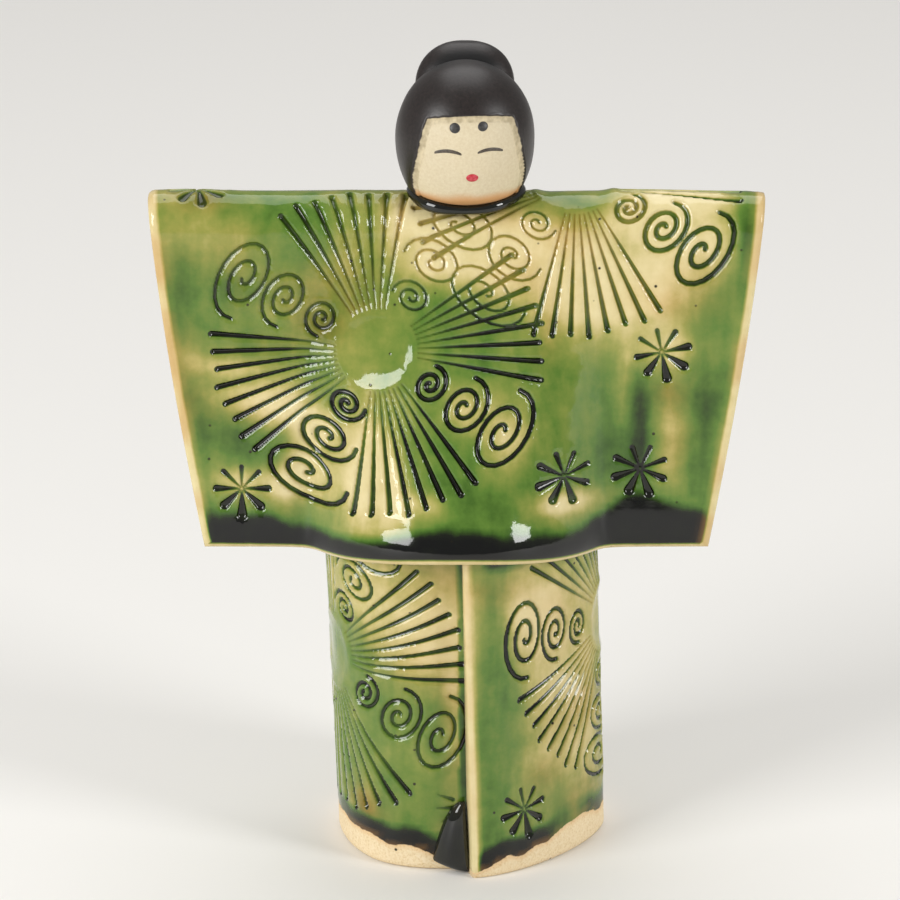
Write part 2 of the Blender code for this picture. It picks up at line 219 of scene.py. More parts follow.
def flat_slab(columns, rows, width_at, lean=None):
    """A closed flat slab: a gridded outer face at z = 0, rounded cut edges and an inner face.

    width_at scales the columns at a row, and lean moves the inner corner of the first column out.
    """
    bm = bmesh.new()
    bmesh.ops.create_grid(bm, x_segments=len(columns) - 1, y_segments=len(rows) - 1, size=1.0)
    for vert in bm.verts:
        i = round((vert.co.x + 1.0) / 2.0 * (len(columns) - 1))
        j = round((vert.co.y + 1.0) / 2.0 * (len(rows) - 1))
        vert.co = Vector((columns[i] * float(width_at(rows[j])), rows[j], 0.0))
    inner = bmesh.ops.extrude_face_region(bm, geom=bm.faces[:], use_keep_orig=True)
    for item in inner["geom"]:
        if isinstance(item, bmesh.types.BMVert):
            at_start = lean and item.co.x < columns[0] * float(width_at(item.co.y)) + 0.01
            item.co.x -= lean(item.co.y) if at_start else 0.0
            item.co.z = -SLAB
    bm.normal_update()
    rim = [e for e in bm.edges if len(e.link_faces) == 2 and e.calc_face_angle(0.0) > 0.6]
    level = [e for e in rim if abs(e.verts[0].co.z - e.verts[1].co.z) < 0.01]
    bmesh.ops.bevel(bm, geom=level, offset=ARRIS, segments=3, profile=0.5, affect="EDGES", material=-1)
    return bm


def refine(bm, strokes, reaches):
    """Halve the cells of the outer face that lie near a stroke, once for each reach in mm."""
    for reach in reaches:
        outer = [f for f in bm.faces if all(v.co.z > -0.001 for v in f.verts)]
        middles = np.array([tuple(f.calc_center_median())[:2] for f in outer])
        gap = stamped(middles, strokes)[2]
        for edge in bm.edges:
            edge.tag = False
        for face, apart in zip(outer, gap):
            if apart < reach:
                for edge in face.edges:
                    edge.tag = True
        chosen = [edge for edge in bm.edges if edge.tag]
        bmesh.ops.subdivide_edges(bm, edges=chosen, cuts=1, use_grid_fill=True)
    bmesh.ops.triangulate(bm, faces=[f for f in bm.faces if len(f.verts) > 4])


def finish_piece(name, bm, place, marks):
    """Turn a bmesh into a piece: place gives its points in mm, marks its attributes at the raw ones."""
    mesh = bpy.data.meshes.new(name)
    bm.to_mesh(mesh)
    bm.free()
    raw = np.empty(len(mesh.vertices) * 3)
    mesh.vertices.foreach_get("co", raw)
    raw = raw.reshape(-1, 3)
    placed = place(raw) * MM
    placed[:, 2] = np.clip(placed[:, 2], 0.0, TOP * MM)
    mesh.vertices.foreach_set("co", placed.ravel())
    for mark, values in marks(raw).items():
        layer = mesh.attributes.new(mark, "FLOAT", "POINT")
        layer.data.foreach_set("value", np.asarray(values, dtype=np.float32))
    outward = bmesh.new()
    outward.from_mesh(mesh)
    bmesh.ops.recalc_face_normals(outward, faces=outward.faces[:])
    for face in outward.faces:
        face.smooth = True
    outward.to_mesh(mesh)
    outward.free()
    piece = bpy.data.objects.new(name, mesh)
    bpy.context.scene.collection.objects.link(piece)
    return piece


ROBE_WHEELS = (
    ((-13.0, 28.0), 0.0, (0.26, 0.33, 0.42, 0.40)),
    ((19.3, -1.0), -184.0, (0.25, 0.46, 0.34, 0.26)),
    ((-23.5, -37.0), 28.0, (LINE, LINE, LINE, LINE)),
)
ROBE_STARS = (
    ((-42.2, -1.0), 10.0, 90.0),
    ((-35.5, 52.6), 0.0, 90.0),
    ((17.9, 48.8), 20.0, 60.0),
    ((30.3, 49.0), 20.0, 80.0),
    ((33.6, 29.1), 12.0, 120.0),
    ((12.0, -40.0), 5.0, 90.0),
    ((30.0, -45.0), 30.0, 60.0),
    ((38.0, -30.0), 18.0, 90.0),
)
ROBE_STROKES = []
for centre, turn, lines in ROBE_WHEELS:
    ROBE_STROKES += wheel(centre, turn, -1.0, lines)
for centre, turn, weak in ROBE_STARS:
    ROBE_STROKES += star(centre, turn, -1.0, weak)

# Where the glaze ran thick or thin, how dark it lies in the strokes, and where iron tints it amber:
# across, down from the crest, half sizes of the patch and amount
ROBE_PATCHES = (
    (-41.6, 7.6, 6.3, 4.3, -0.10), (-35.8, 9.6, 5.0, 3.3, -0.05), (-46.0, 25.3, 4.0, 9.1, 0.06),
    (-43.2, 30.6, 2.0, 2.3, -0.21), (-38.3, 41.9, 5.6, 4.3, 0.12), (-46.5, 36.9, 2.6, 5.0, 0.04),
    (-31.6, 46.8, 4.3, 2.6, 0.10), (-28.7, 52.1, 2.3, 2.0, -0.39), (-35.8, 51.1, 3.6, 2.0, -0.34),
    (-35.0, 15.4, 2.6, 4.6, -0.04), (-31.2, 26.9, 5.0, 1.7, -0.04), (-28.7, 20.3, 3.0, 3.0, -0.07),
    (-22.6, 24.0, 2.3, 2.3, 0.02), (-36.4, 31.6, 4.3, 1.3, -0.29), (-32.1, 37.2, 5.6, 2.6, -0.39),
    (-27.5, 40.2, 3.6, 2.3, -0.26), (-22.9, 41.9, 2.6, 2.6, -0.36), (-25.0, 48.5, 3.3, 4.0, -0.42),
    (-20.1, 36.9, 2.3, 2.3, 0.02), (-18.4, 11.2, 2.6, 6.6, -0.12), (-25.9, 7.6, 3.0, 4.3, 0.02),
    (-11.8, 9.6, 2.3, 5.3, -0.08), (-8.5, 6.5, 2.0, 4.6, -0.10), (-15.9, 48.5, 2.6, 7.9, -0.47),
    (-10.7, 50.1, 2.0, 7.3, -0.34), (-5.2, 53.4, 3.6, 1.7, -0.26), (-14.3, 43.5, 2.0, 4.3, -0.10),
    (-1.1, 45.2, 5.0, 5.0, 0.06), (-4.4, 5.5, 5.3, 3.3, -0.39), (7.2, 9.0, 7.3, 3.6, -0.42),
    (2.2, 12.9, 6.6, 3.6, -0.34), (8.0, 17.8, 4.0, 2.6, -0.23), (-4.4, 14.0, 3.0, 2.0, -0.21),
    (2.2, 26.9, 6.6, 4.0, 0.03), (10.5, 28.6, 3.3, 4.0, 0.04), (0.9, 37.7, 2.3, 2.6, -0.34),
    (8.0, 41.9, 3.3, 4.6, -0.36), (14.6, 20.3, 2.3, 5.0, -0.06), (22.1, 13.7, 7.6, 5.6, -0.31),
    (23.7, 20.3, 7.3, 5.0, -0.39), (20.4, 3.5, 5.6, 2.0, 0.10), (30.3, 5.5, 4.3, 3.0, -0.36),
    (38.6, 10.4, 6.0, 5.6, -0.44), (38.6, 2.4, 6.6, 2.0, -0.34), (47.2, 7.6, 1.5, 6.6, 0.24),
    (46.5, 18.7, 2.0, 3.3, 0.10), (43.6, 21.5, 3.3, 4.6, 0.08), (32.8, 20.3, 4.0, 3.3, -0.12),
    (33.3, 28.9, 4.0, 3.0, -0.31), (42.7, 28.6, 2.3, 5.0, 0.04), (35.6, 41.9, 2.6, 5.6, -0.21),
    (40.3, 43.5, 2.0, 7.9, 0.16), (30.3, 40.2, 1.5, 6.6, 0.34), (29.0, 47.6, 1.5, 2.3, 0.16),
    (35.0, 50.1, 2.3, 2.6, -0.12), (17.1, 36.9, 5.0, 8.3, 0.05), (25.4, 41.9, 2.3, 9.9, 0.12),
    (27.4, 34.4, 1.3, 6.0, -0.18), (17.1, 50.1, 4.3, 1.7, 0.02), (17.6, 53.4, 4.6, 1.7, -0.42),
    (3.9, 53.4, 6.6, 3.0, 0.14), (12.2, 48.5, 3.3, 3.3, 0.06), (22.9, 48.5, 2.6, 4.0, 0.04),
    (-13.5, 28.6, 6.0, 6.0, -0.02), (-15.6, 26.9, 2.0, 4.3, 0.02),
)
ROBE_CONTRAST = (
    (-34.1, 32.7, 8.3, 5.0, 0.35), (-19.3, 12.0, 11.6, 9.9, -0.30), (-41.6, 1.4, 3.3, 2.0, 0.18),
    (-33.0, 16.0, 6.0, 5.5, -0.22), (38.6, 10.4, 6.6, 8.3, 0.45), (38.6, 0.8, 6.6, 1.3, 0.50),
    (22.1, 15.4, 8.3, 8.3, 0.15), (2.2, 10.4, 9.9, 6.6, 0.20), (2.2, 26.9, 9.9, 5.0, 0.05),
    (33.6, 29.4, 5.0, 3.3, 0.30),
)
ROBE_AMBER = (
    (-20.9, 17.8, 5.6, 4.3, 0.60), (-22.6, 24.0, 2.6, 2.3, 0.90), (-35.8, 15.4, 5.0, 5.6, 0.35),
    (-30.8, 27.8, 5.6, 2.3, 0.30), (-44.0, 36.9, 3.0, 4.0, 0.45), (-41.6, 2.4, 4.3, 2.0, 0.90),
    (-38.3, 41.9, 5.0, 3.3, 0.35), (-46.5, 13.7, 3.3, 5.0, 0.30), (-45.7, 26.9, 3.0, 8.3, 0.30),
    (17.9, 7.6, 4.0, 4.0, 0.35), (7.2, 5.5, 4.3, 2.3, 0.30), (10.5, 15.4, 4.0, 3.3, 0.30),
    (38.6, 18.7, 5.0, 4.0, 0.35), (32.8, 20.3, 4.0, 2.3, 0.30), (35.3, 36.1, 2.3, 2.0, 0.50),
    (35.6, 43.5, 2.3, 5.0, 0.40), (30.3, 36.9, 2.0, 3.3, 0.40), (2.2, 23.6, 3.3, 1.7, 0.20),
    (14.6, 25.3, 2.0, 5.0, 0.30), (40.3, 36.9, 2.6, 6.6, 0.25),
)
# Drops of glaze that hang at the hem: across, up from the hem, half sizes and height
HEM_DROPS = (
    (-14.5, 3.8, 5.4, 2.6, 0.42), (-28.5, 5.4, 2.8, 2.8, 0.5),
    (12.5, 3.6, 5.4, 2.0, 0.36), (31.0, 5.2, 4.0, 3.0, 0.5),
)
# Height of the glaze pooled along the hem, what the sleeves and one run add, and how softly it ends
HEM_BAND = 6.2
SLEEVE_BAND = 1.8
RUN_BAND = 1.6
HEM_FADE = 4.6
# Width of the rim where the glaze drew back, radius of a wheel's hub and shares of glaze
RIM = 1.9
HUB_RING = 6.4
ROBE_COAT = 0.47
THINNEST = 0.06
FAINTEST = 0.24
HARD_PRESS = 0.42


def patches(x, y, spots):
    """Sum of soft spots, each with a middle, two half sizes and an amount."""
    total = np.zeros_like(x)
    for px, py, half_x, half_y, amount in spots:
        total += amount * np.exp(-(((x - px) / half_x) ** 2 + ((y - py) / half_y) ** 2) / 1.7)
    return total


def hub_ring(x, y, wheels):
    """The soft ring and shallow dish that the middle of each wheel stamp leaves."""
    total = np.zeros_like(x)
    for (px, py), *_ in wheels:
        apart = np.hypot(x - px, y - py)
        total += 0.16 * np.exp(-((apart - HUB_RING) / 0.8) ** 2) - 0.12 * smooth((6.2 - apart) / 2.0)
    return total


def hem_band(x, rise):
    """Share of the pooled band along the hem, which reaches higher on the sleeves."""
    on_sleeve = smooth((np.abs(x) - 19.0) / 12.0)
    on_run = smooth((x - 24.0) / 5.0) * smooth((36.0 - x) / 6.0)
    band = HEM_BAND + SLEEVE_BAND * on_sleeve + RUN_BAND * on_run
    band = band + 0.8 * cloud(x, rise * 0.3, 13.0, 5)
    band = band + 0.35 * cloud(x, rise * 0.3, 6.5, 6)
    return smooth((band - rise) / HEM_FADE)


def robe_place(flat):
    """Points of the bent robe, with its stamps, uneven clay and the glaze that stands at the hem."""
    x, s, up = flat.T
    depth, crowd, _, _ = stamped(flat[:, :2], ROBE_STROKES)
    outer = smooth((up + 0.6) / 0.6)
    rise = ROBE_LENGTH - np.abs(s)
    moved = flat.copy()
    uneven = 0.13 * cloud(x, s, 20.0, 3) - 0.22 + hub_ring(x, s, ROBE_WHEELS)
    pooled = hem_band(x, rise)
    drops = patches(x, np.where(s > 0.0, rise, 99.0), HEM_DROPS)
    pool = 0.3 * pooled * smooth(rise / 2.6) + drops
    filled = 0.45 * pooled
    ridge = 0.12 * np.minimum(crowd, 1.0) * (depth < 0.02)
    moved[:, 2] += outer * (uneven + pool - depth * (1.0 - filled) + ridge)
    return bend(robe_face, moved, -1.0)


def robe_marks(flat):
    """The robe's glaze: thickness, darkness in the strokes, tints and where it covers the clay."""
    x, s, up = flat.T
    _, crowd, gap, press = stamped(flat[:, :2], ROBE_STROKES)
    front = smooth((s + 4.0) / 4.0)
    base = ROBE_COAT + 0.035 * cloud(x, s, 16.0, 11) + 0.03 * cloud(x, s, 6.0, 12)
    base += front * patches(x, s, ROBE_PATCHES) - (1.0 - front) * 0.16 * np.minimum(crowd, 1.2)
    contrast = 0.30 + 0.55 * smooth((np.abs(s) - 10.0) / 34.0) + front * patches(x, s, ROBE_CONTRAST)
    glaze = np.maximum(base, THINNEST)
    dark = 0.72 * np.maximum(contrast, FAINTEST) * smooth(press / HARD_PRESS)
    rise = ROBE_LENGTH - np.abs(s)
    glaze += 0.75 * hem_band(x, rise)
    glaze -= 0.06 * smooth(1.0 - np.abs(s) / 5.0)
    side = half_span(s) - np.abs(x)
    rim = smooth((RIM - np.minimum(side, rise * RIM)) / 1.0)
    glaze = np.clip(glaze * (1.0 - rim) + 0.05 * rim, 0.0, 1.0)
    amber = front * patches(x, s, ROBE_AMBER) + 0.25 * (1.0 - front)
    toast = 0.8 * smooth((2.8 - side) / 2.6) * smooth(0.5 + 0.8 * cloud(x, s, 7.0, 21))
    toast = np.maximum(toast, 0.3 * smooth((1.2 - rise) / 1.0))
    amber = np.clip(amber, 0.0, 1.0)
    gap = gap + 4.0 * rim
    cover = up + 2.2
    return {"glaze": glaze, "dark": dark, "gap": gap, "toast": toast, "amber": amber, "cover": cover}


def stations(low, high, cell):
    """Places from low to high: one border cell at each end, and cells of about one size between."""
    count = max(1, round((high - low - 2.0 * BORDER_CELL) / cell))
    inner = np.linspace(low + BORDER_CELL, high - BORDER_CELL, count + 1)
    return [low] + [float(v) for v in inner] + [high]


robe_columns = [c / SHOULDER_HALF_SPAN for c in stations(-SHOULDER_HALF_SPAN, SHOULDER_HALF_SPAN, CELL)]
robe_bm = flat_slab(robe_columns, stations(-ROBE_LENGTH, ROBE_LENGTH, CELL), half_span)
refine(robe_bm, ROBE_STROKES, (0.8, 0.3))
robe = finish_piece("robe", robe_bm, robe_place, robe_marks)
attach(robe, "root")
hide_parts("hina_doll")


# The skirt is a second slab rolled into a tube, with its cut edge lapped over down the front and its
# tail luted underneath.  It carries the same stamps, and its foot is wiped free of glaze.
FOOT_RADIUS = 22.9
WRAP = 22.4
FOOT_SHIFT = 2.7
WAIST_SHIFT = 0.7
WAIST_HEIGHT = 57.0
TUBE_TOP = 86.0
LAP = 0.35
TURN_ROUND = 2.0 * math.pi * WRAP
TAIL = 4.5
PANEL_FLAT = 2.4
TUCK = 3.5
FOOT_LEAN = 1.6
WAIST_LEAN = 0.3
CHEST_LINE = robe_face(np.zeros(60), np.linspace(QUARTER_FOLD, ROBE_LENGTH, 60))


def skirt_face(q, z):
    """Outer face of the rolled skirt; q runs round it in mm from the middle of the front."""
    angle = q / WRAP
    flattened = PANEL_FLAT * np.sin(math.pi * np.clip((angle - 0.054) / math.radians(84.0), 0.0, 1.0))
    tucked = TUCK * smooth((angle - 2.0 * math.pi + math.radians(52.0)) / math.radians(50.0))
    radius = FOOT_RADIUS - flattened - tucked
    shift = FOOT_SHIFT + (WAIST_SHIFT - FOOT_SHIFT) * np.minimum(z / WAIST_HEIGHT, 1.0)
    room = np.interp(z, CHEST_LINE[::-1, 2], -CHEST_LINE[::-1, 1]) - SLAB + 1.2
    squeeze = np.where(z > WAIST_HEIGHT, np.minimum(room / FOOT_RADIUS, 1.0), 1.0)
    return np.stack([shift + radius * np.sin(angle), -radius * squeeze * np.cos(angle), z], axis=1)


def lean(z):
    """How far the cut edge slopes out from under the lap; it opens towards the foot."""
    return FOOT_LEAN - (FOOT_LEAN - WAIST_LEAN) * np.clip(z / WAIST_HEIGHT, 0.0, 1.0)


def skirt_stamps(shift):
    """The skirt's wheels, stars and faint strokes, shifted along the slab."""
    wheels = (
        ((-29.0 + shift, 35.0), -177.0, (0.34, 0.36, 0.36, 0.34), (1.08, 1.0)),
        ((35.7 + shift, 39.0), 21.5, (0.34, 0.42, 0.36, 0.34), (1.0, 1.0)),
    )
    stars = (
        ((10.1 + shift, 11.1), 10.0, 90.0),
        ((72.0 + shift, 12.0), 15.0, 90.0),
        ((72.0 + shift, 45.0), 5.0, 60.0),
    )
    strokes = (
        (-6.0 + shift, 13.9, -3.2 + shift, 13.0),
        (-6.3 + shift, 11.4, -3.0 + shift, 11.5),
        (-5.4 + shift, 8.9, -3.2 + shift, 10.1),
    )
    return wheels, stars, strokes


# The slab starts at the lap and laps over itself, so each stamp is set once from either end
FAINT_PRESS = (0.18, 0.4, 0.1, 0.26, 0.0)
SKIRT_WHEELS = []
SKIRT_STROKES = []
for shift in (0.0, TURN_ROUND):
    wheels, stars, strokes = skirt_stamps(shift)
    SKIRT_WHEELS += wheels
    for centre, turn, lines, stretch in wheels:
        SKIRT_STROKES += wheel(centre, turn, 1.0, lines, stretch)
    for centre, turn, weak in stars:
        SKIRT_STROKES += star(centre, turn, 1.0, weak)
    SKIRT_STROKES += [ends + FAINT_PRESS for ends in strokes]

# Round from the middle of the front, up from the foot, half sizes of the patch and amount
SKIRT_PATCHES = (
    (-11.5, 48.5, 11.4, 7.9, -0.24), (-23.5, 38.5, 4.6, 3.8, 0.10), (-13.0, 41.5, 4.3, 3.1, 0.04),
    (-6.5, 38.5, 5.9, 6.2, -0.22), (-2.5, 31.0, 1.7, 19.0, -0.18), (-12.5, 18.0, 8.6, 7.9, 0.04),
    (-15.5, 30.0, 6.4, 4.5, 0.02), (-9.0, 23.0, 3.6, 3.8, -0.04), (-24.0, 6.5, 5.5, 2.4, -0.10),
    (-19.5, 11.0, 2.1, 2.1, -0.14), (-22.5, 48.0, 5.5, 5.2, -0.10), (15.0, 47.5, 8.4, 5.2, -0.22),
    (24.0, 40.0, 8.3, 7.6, -0.24), (5.5, 42.5, 1.7, 10.3, 0.16), (7.5, 28.0, 2.8, 10.3, 0.10),
    (12.5, 41.0, 3.9, 6.9, -0.16), (19.5, 28.5, 8.7, 5.2, -0.20), (26.5, 19.0, 8.7, 5.2, -0.24),
    (27.5, 5.5, 6.6, 5.2, -0.16), (15.0, 19.0, 3.4, 2.4, -0.10), (10.0, 10.5, 4.4, 2.4, -0.06),
    (18.5, 9.5, 4.9, 3.4, 0.05), (3.5, 14.5, 1.7, 8.6, 0.08),
)
SKIRT_CONTRAST = (
    (-13.0, 24.0, 9.0, 6.0, -0.20), (-20.0, 12.0, 6.0, 8.0, -0.24),
    (-6.5, 42.0, 8.6, 6.9, 0.35), (14.5, 31.5, 8.3, 8.6, 0.25), (14.5, 42.5, 8.3, 6.9, 0.20),
    (-12.5, 23.5, 11.7, 10.3, -0.15),
)
SKIRT_AMBER = (
    (-6.0, 52.5, 6.9, 3.8, 0.30), (-10.0, 38.0, 5.5, 4.5, 0.25), (-20.5, 9.5, 3.3, 2.8, 0.90),
    (6.5, 51.5, 5.2, 2.4, 0.40), (20.0, 43.0, 6.3, 5.2, 0.30), (27.0, 26.0, 9.3, 5.2, 0.35),
    (15.0, 16.0, 3.0, 2.4, 0.50), (27.0, 7.5, 6.5, 4.1, 0.60), (-3.0, 31.0, 2.0, 10.3, 0.20),
)
# Height of the wiped foot line, and strength of the dark pool above it, at places round the front
FOOT_LINE_AT = (-35.0, -28.0, -22.0, -14.0, -8.0, -3.0, 0.5, 2.0, 5.0, 9.0, 14.0, 19.0, 25.0, 32.0)
FOOT_LINE = (5.0, 5.2, 4.8, 4.3, 3.2, 1.6, 0.8, 1.8, 2.6, 3.0, 3.8, 5.2, 5.6, 4.6)
POOL_AT = (-34.0, -28.0, -18.0, -8.0, -3.0, 3.0, 8.0, 13.0, 17.0, 23.0, 30.0, 36.0)
POOL = (0.7, 0.5, 1.0, 1.05, 0.8, 0.8, 1.1, 1.0, 0.4, 0.15, 0.6, 0.7)
SKIRT_COAT = 0.46


def skirt_place(flat):
    """Points of the rolled skirt, with its stamps and uneven clay."""
    q, z, up = flat.T
    depth, crowd, _, _ = stamped(flat[:, :2], SKIRT_STROKES)
    outer = smooth((up + 0.6) / 0.6)
    moved = flat.copy()
    uneven = 0.1 * cloud(q, z, 18.0, 7) - 0.17 + hub_ring(q, z, SKIRT_WHEELS)
    ridge = 0.12 * np.minimum(crowd, 1.0) * (depth < 0.02)
    moved[:, 2] += outer * (uneven - depth + ridge)
    return bend(skirt_face, moved, 1.0)


def skirt_marks(flat):
    """The skirt's glaze, as the robe's, with a wiped foot, a dark seam and a pale cut edge."""
    q, z, up = flat.T
    _, crowd, gap, press = stamped(flat[:, :2], SKIRT_STROKES)
    front = np.where(q > TURN_ROUND / 2, q - TURN_ROUND, q)
    base = SKIRT_COAT + 0.035 * cloud(q, z, 15.0, 31) + 0.03 * cloud(q, z, 6.0, 32)
    seen = smooth((44.0 - np.abs(front)) / 10.0)
    base += seen * patches(front, z, SKIRT_PATCHES) - (1.0 - seen) * 0.16 * np.minimum(crowd, 1.2)
    contrast = 0.62 + 0.25 * smooth((20.0 - z) / 16.0) + patches(front, z, SKIRT_CONTRAST)
    glaze = np.maximum(base, THINNEST)
    dark = 0.68 * np.maximum(contrast, FAINTEST) * smooth(press / HARD_PRESS)
    line = np.interp(front, FOOT_LINE_AT, FOOT_LINE, left=4.6, right=4.8)
    line = line + 0.35 * cloud(q, z * 0.3, 5.0, 41)
    pool = np.interp(front, POOL_AT, POOL, left=0.7, right=0.7) + 0.1 * cloud(q, np.zeros_like(z), 9.0, 43)
    glaze += 0.62 * pool * smooth((line + 4.4 - z) / 3.0)
    # Darker glaze on the right panel just under the robe's hem: partly glaze pooled there, partly painted
    # shade under the overhanging hem.
    pool_and_shade_under_hem = smooth((z - 54.4) / 1.6) * smooth((60.0 - z) / 2.0)
    glaze += 0.5 * pool_and_shade_under_hem * smooth((q - 3.0) / 3.0) * (front > 0.0)
    seam = np.where(q > TURN_ROUND / 2, -lean(z) - front, 9.0)
    glaze += 0.32 * smooth((0.75 - seam) / 0.5)
    cut_edge = smooth((1.5 - (q - LAP)) / 1.0) * (q < 10.0)
    glaze = np.clip(glaze * (1.0 - cut_edge) + 0.05 * cut_edge, 0.0, 1.0)
    amber = seen * patches(front, z, SKIRT_AMBER) + 0.2 * (1.0 - seen)
    amber = np.clip(amber, 0.0, 1.0)
    toast = 0.4 * smooth(1.0 - np.abs(z - line - 0.2) / 0.7)
    toast = np.clip(toast + 0.3 * cut_edge * smooth(0.5 + cloud(z, q, 8.0, 44)), 0.0, 1.0)
    gap = gap + 4.0 * cut_edge
    cover = np.minimum(z - line, up + 3.5)
    return {"glaze": glaze, "dark": dark, "gap": gap, "toast": toast, "amber": amber, "cover": cover}


skirt_rows = stations(0.0, WAIST_HEIGHT + 2.0, CELL)[:-1]
skirt_rows += [58.0, 62.0, 66.0, 71.0, 76.0, 81.0, 84.0, TUBE_TOP]
skirt_bm = flat_slab(stations(LAP, LAP + TURN_ROUND + TAIL, CELL), skirt_rows, np.ones_like, lean)
refine(skirt_bm, SKIRT_STROKES, (0.8, 0.3))
skirt = finish_piece("skirt", skirt_bm, skirt_place, skirt_marks)
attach(skirt, "root")
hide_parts("hina_doll")


# Copper green ash glaze over cream stoneware, dipped and fired glossy: cream where it is thin on the
# raised clay, green at working thickness and nearly black where it ran and pooled.  Its thickness,
# the bare clay and the orange flashing come from the slabs' own attributes.
def colour(code):
    """Linear colour of an sRGB hex value."""
    parts = [int(code[k:k + 2], 16) / 255.0 for k in (1, 3, 5)]
    return tuple(p / 12.92 if p < 0.04045 else ((p + 0.055) / 1.055) ** 2.4 for p in parts) + (1.0,)


def add(tree, kind, inputs, **settings):
    """Add a node; an input is a value or the socket that feeds it."""
    item = tree.nodes.new(kind)
    for name, value in settings.items():
        setattr(item, name, value)
    for name, value in inputs.items():
        if isinstance(value, bpy.types.NodeSocket):
            tree.links.new(value, item.inputs[name])
        else:
            item.inputs[name].default_value = value
    return item


def new_material(name):
    """A new material with its node tree and shader."""
    material = bpy.data.materials.new(name)
    material.use_nodes = True
    tree = material.node_tree
    return material, tree, tree.nodes["Principled BSDF"]


def set_ramp(item, stops):
    """Give a colour ramp its stops, each a place and a colour."""
    ramp = item.color_ramp
    while len(ramp.elements) < len(stops):
        ramp.elements.new(0.5)
    for element, (place, value) in zip(ramp.elements, stops):
        element.position = place
        element.color = value


glaze, tree, shader = new_material("copper_green_glaze")
spot = add(tree, "ShaderNodeTexCoord", {}).outputs["Object"]
thick = add(tree, "ShaderNodeAttribute", {}, attribute_name="glaze").outputs["Fac"]
cover = add(tree, "ShaderNodeAttribute", {}, attribute_name="cover").outputs["Fac"]
toast = add(tree, "ShaderNodeAttribute", {}, attribute_name="toast").outputs["Fac"]
amber_mark = add(tree, "ShaderNodeAttribute", {}, attribute_name="amber").outputs["Fac"]
mottle = add(tree, "ShaderNodeTexNoise", {"Vector": spot, "Scale": 420.0, "Detail": 4.0, "Roughness": 0.6})
mottled = add(tree, "ShaderNodeMapRange", {0: mottle.outputs["Fac"], 1: 0.25, 2: 0.75, 3: -0.05, 4: 0.05})
drawn = add(tree, "ShaderNodeVectorMath", {0: spot, 1: (1.0, 1.0, 0.16)}, operation="MULTIPLY")
streak = add(tree, "ShaderNodeTexNoise", {"Vector": drawn.outputs[0], "Scale": 380.0, "Detail": 2.0})
streaked = add(tree, "ShaderNodeMapRange", {0: streak.outputs["Fac"], 1: 0.25, 2: 0.75, 3: -0.05, 4: 0.05})
wavy = add(tree, "ShaderNodeMath", {0: mottled.outputs[0], 1: streaked.outputs[0]}, operation="ADD")
dark = add(tree, "ShaderNodeAttribute", {}, attribute_name="dark").outputs["Fac"]
gap = add(tree, "ShaderNodeAttribute", {}, attribute_name="gap").outputs["Fac"]
groove = add(tree, "ShaderNodeMapRange", {0: gap, 1: 0.1, 2: -0.16, 3: 0.0, 4: 1.0},
             interpolation_type="SMOOTHSTEP").outputs[0]
sunk = add(tree, "ShaderNodeMath", {0: groove, 1: dark, 2: thick}, operation="MULTIPLY_ADD")
filled = add(tree, "ShaderNodeMath", {0: sunk.outputs[0], 1: 0.86}, operation="MINIMUM")
deepest = add(tree, "ShaderNodeMath", {0: filled.outputs[0], 1: thick}, operation="MAXIMUM")
layer = add(tree, "ShaderNodeMath", {0: deepest.outputs[0], 1: wavy.outputs[0]}, operation="ADD")
tone = add(tree, "ShaderNodeValToRGB", {"Fac": layer.outputs[0]})
set_ramp(tone, (
    (0.00, colour("#E3D4A2")), (0.12, colour("#D6C68E")), (0.24, colour("#B9AE68")),
    (0.34, colour("#96984A")), (0.44, colour("#77893A")), (0.54, colour("#587A2C")),
    (0.64, colour("#3D5F1C")), (0.74, colour("#273C10")), (0.85, colour("#11160A")),
    (1.00, colour("#050605")),
))
drift = add(tree, "ShaderNodeTexNoise", {"Vector": spot, "Scale": 140.0, "Detail": 3.0})
drifting = add(tree, "ShaderNodeMapRange", {0: drift.outputs["Fac"], 1: 0.3, 2: 0.7, 3: 0.35, 4: 1.0})
amber_base = add(tree, "ShaderNodeMath", {0: amber_mark, 1: drifting.outputs[0]}, operation="MULTIPLY")
amber_share = add(tree, "ShaderNodeMath", {0: groove, 1: 0.45, 2: amber_base.outputs[0]},
                  operation="MULTIPLY_ADD", use_clamp=True)
iron = add(tree, "ShaderNodeMix", {"Factor": 1.0, 6: tone.outputs["Color"], 7: colour("#E0AC50")},
           data_type="RGBA", blend_type="MULTIPLY")
amber = add(tree, "ShaderNodeMix", {0: amber_share.outputs[0], 6: tone.outputs["Color"],
                                    7: iron.outputs[2]}, data_type="RGBA")
warm_share = add(tree, "ShaderNodeMath", {0: toast, 1: 0.55}, operation="MULTIPLY")
warm = add(tree, "ShaderNodeMix", {0: warm_share.outputs[0], 6: amber.outputs[2], 7: colour("#C08A45")},
           data_type="RGBA")
grit = add(tree, "ShaderNodeTexNoise", {"Vector": spot, "Scale": 2600.0, "Detail": 3.0, "Roughness": 0.6})
clay = add(tree, "ShaderNodeValToRGB", {"Fac": grit.outputs["Fac"]})
set_ramp(clay, ((0.30, colour("#D9BE90")), (0.45, colour("#EAD4AA")), (0.70, colour("#F2E0C0"))))
limit = add(tree, "ShaderNodeMapRange", {0: mottle.outputs["Fac"], 1: 0.3, 2: 0.7, 3: -0.25, 4: 0.25})
over = add(tree, "ShaderNodeMath", {0: cover, 1: limit.outputs[0]}, operation="ADD")
bare = add(tree, "ShaderNodeMapRange", {0: over.outputs[0], 1: -0.08, 2: 0.08, 3: 1.0, 4: 0.0}).outputs[0]
flash = add(tree, "ShaderNodeMapRange", {0: over.outputs[0], 1: -1.1, 2: -0.1, 3: 0.0, 4: 0.45})
baked = add(tree, "ShaderNodeMix", {0: flash.outputs[0], 6: clay.outputs["Color"], 7: colour("#D9A765")},
            data_type="RGBA")
